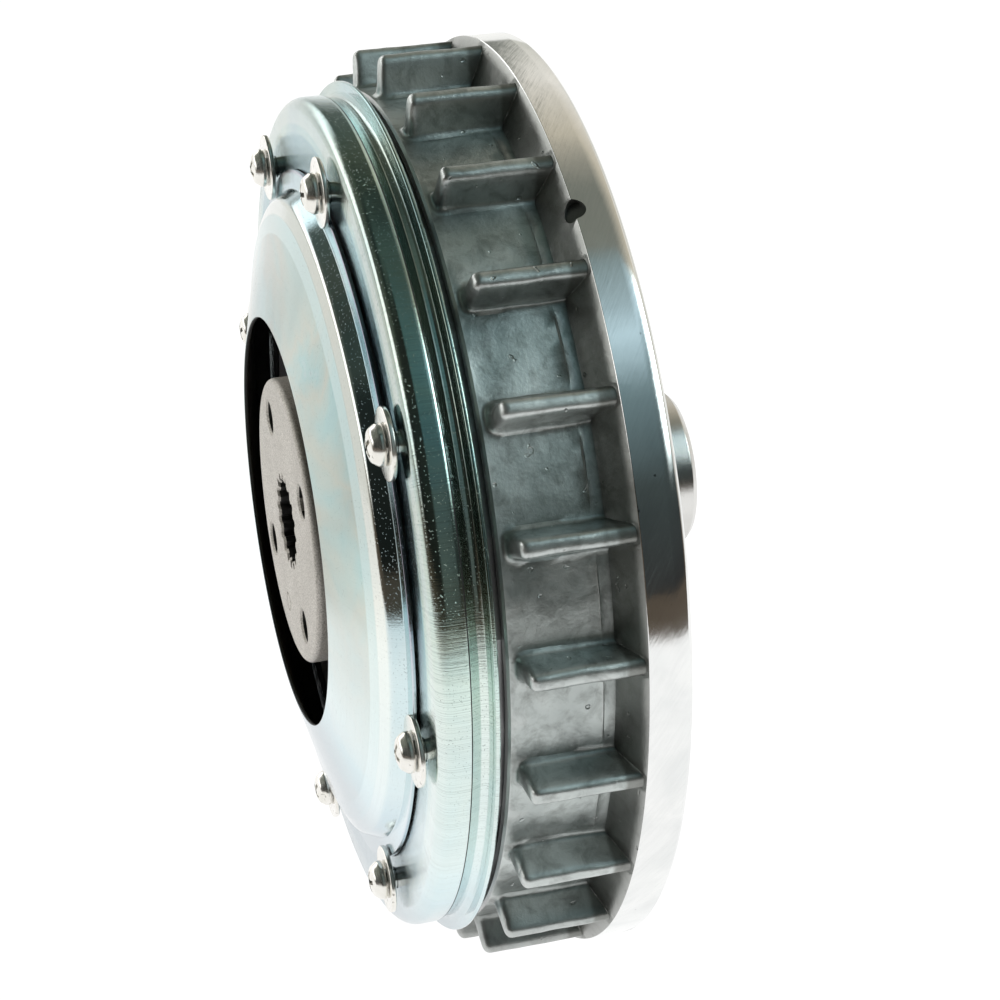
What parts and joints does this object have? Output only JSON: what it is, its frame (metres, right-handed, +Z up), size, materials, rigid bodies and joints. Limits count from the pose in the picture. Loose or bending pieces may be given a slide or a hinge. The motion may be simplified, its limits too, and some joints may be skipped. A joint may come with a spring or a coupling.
{
  "type": "electromagnetic clutch",
  "caption": "Magnetic-powder electromagnetic clutch: finned cast drum with a bright rim, stamped plated covers, coil and yoke inside, splined hub in front and a pilot boss behind.",
  "frame": {"origin": "centre of the flat end face of the pilot boss, on the spin axis", "axes": "+Y along the spin axis out of the pilot boss, so the splined hub faces -Y; +Z up with the clutch on edge; +X to the right as seen from the hub side"},
  "size_m": [0.23, 0.1033, 0.23],
  "materials": {
    "cast_aluminium": "as-cast drum and fins with small pits, rim turned bright",
    "yoke_steel": "machined, lightly oiled",
    "turned_steel": "fine turned and ground",
    "zinc_plate": "blue-white passivated zinc plating, iridescent, mirror-like with fine drawing streaks",
    "nickel": "bright plated",
    "brass": "turned",
    "enamelled_copper": "enamelled copper wire",
    "phenolic": "moulded black phenolic",
    "rubber": "moulded",
    "sintered_iron": "matt, fine-grained sintered iron",
    "bearing_steel": "hardened and ground",
    "iron_powder": "loose dark iron powder, drawn as a packed ring"
  },
  "bodies": {
    "drive_member": {"finned_housing": "cast_aluminium", "rear_yoke": "yoke_steel", "front_yoke": "yoke_steel", "front_seal_plate": "yoke_steel", "outer_snap_ring": "yoke_steel", "rear_screw_1": "yoke_steel", "rear_screw_2": "yoke_steel", "rear_screw_3": "yoke_steel", "rear_screw_4": "yoke_steel", "rear_screw_5": "yoke_steel", "rear_screw_6": "yoke_steel", "pilot_boss": "turned_steel", "outer_cover": "zinc_plate", "dome_cover": "zinc_plate", "cover_screw_1": "nickel", "cover_screw_2": "nickel", "cover_screw_3": "nickel", "cover_screw_4": "nickel", "cover_screw_5": "nickel", "cover_screw_6": "nickel", "cover_screw_7": "nickel", "cover_screw_8": "nickel", "cover_washer_1": "nickel", "cover_washer_2": "nickel", "cover_washer_3": "nickel", "cover_washer_4": "nickel", "cover_washer_5": "nickel", "cover_washer_6": "nickel", "cover_washer_7": "nickel", "cover_washer_8": "nickel", "pole_spacer_ring": "brass", "slip_ring_inner": "brass", "slip_ring_outer": "brass", "coil_winding": "enamelled_copper", "coil_lead_1": "enamelled_copper", "coil_lead_2": "enamelled_copper", "coil_bobbin": "phenolic", "slip_ring_carrier": "phenolic", "rear_seal_ring": "rubber", "bearing_outer_race": "bearing_steel", "magnetic_powder": "iron_powder"},
    "driven_rotor": {"rotor_hub": "sintered_iron", "rotor_drum": "yoke_steel", "bearing_inner_race": "bearing_steel", "inner_snap_ring": "yoke_steel"},
    "ball_cage": {"bearing_cage": "brass", "bearing_ball_1": "bearing_steel", "bearing_ball_2": "bearing_steel", "bearing_ball_3": "bearing_steel", "bearing_ball_4": "bearing_steel", "bearing_ball_5": "bearing_steel", "bearing_ball_6": "bearing_steel", "bearing_ball_7": "bearing_steel", "bearing_ball_8": "bearing_steel", "bearing_ball_9": "bearing_steel"}
  },
  "joints": [
    {"name": "rotor_spin", "type": "hinge", "parent": "drive_member", "child": "driven_rotor", "pos_m": [0, -0.0537, 0], "axis": [0, 1, 0], "continuous": true},
    {"name": "cage_spin", "type": "hinge", "parent": "drive_member", "child": "ball_cage", "pos_m": [0, -0.0537, 0], "axis": [0, 1, 0], "continuous": true}
  ],
  "couplings": [
    {"joint": "cage_spin", "follows": "rotor_spin", "ratio": 0.397}
  ]
}
